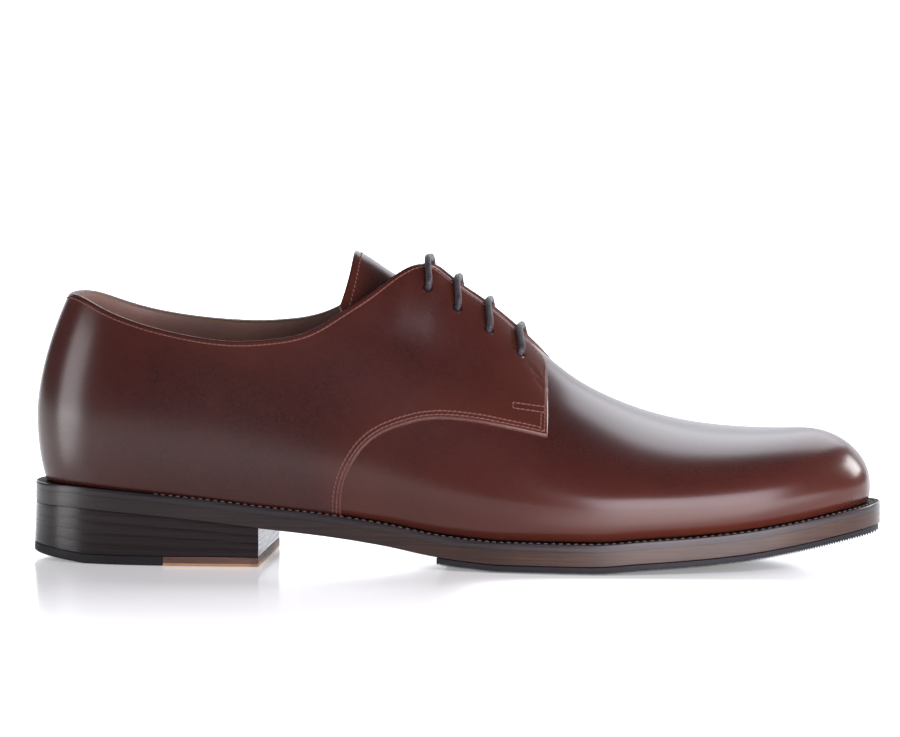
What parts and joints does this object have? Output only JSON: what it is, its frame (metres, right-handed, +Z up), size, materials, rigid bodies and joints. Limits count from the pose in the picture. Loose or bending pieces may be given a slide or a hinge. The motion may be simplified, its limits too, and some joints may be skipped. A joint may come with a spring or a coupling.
{
  "type": "derby shoe",
  "caption": "Man's plain-toe derby shoe for the right foot in brown polished calf, four eyelets a side, welted leather sole with a rubber forepart and a stacked heel.",
  "frame": {"origin": "middle of the shoe's overall box at floor level", "axes": "+X from heel to toe, +Y to the inner (medial) side of this right shoe, +Z up"},
  "size_m": [0.3056, 0.1038, 0.1111],
  "materials": {
    "calf": "polished",
    "lining": "matte",
    "welt": "satin",
    "sole_leather": "satin",
    "edge": "polished",
    "rubber": "matte",
    "natural": "matte",
    "cord": "waxed"
  },
  "bodies": {
    "root": {"upper": "calf", "tongue": "calf", "insole": "lining", "welt": "welt", "outsole": "sole_leather", "forepart_rubber": "rubber", "heel": "edge", "heel_rubber": "rubber", "heel_leather": "natural", "lace_bar_1": "cord", "lace_bar_2": "cord", "lace_bar_3": "cord", "lace_bar_4": "cord"}
  },
  "joints": []
}
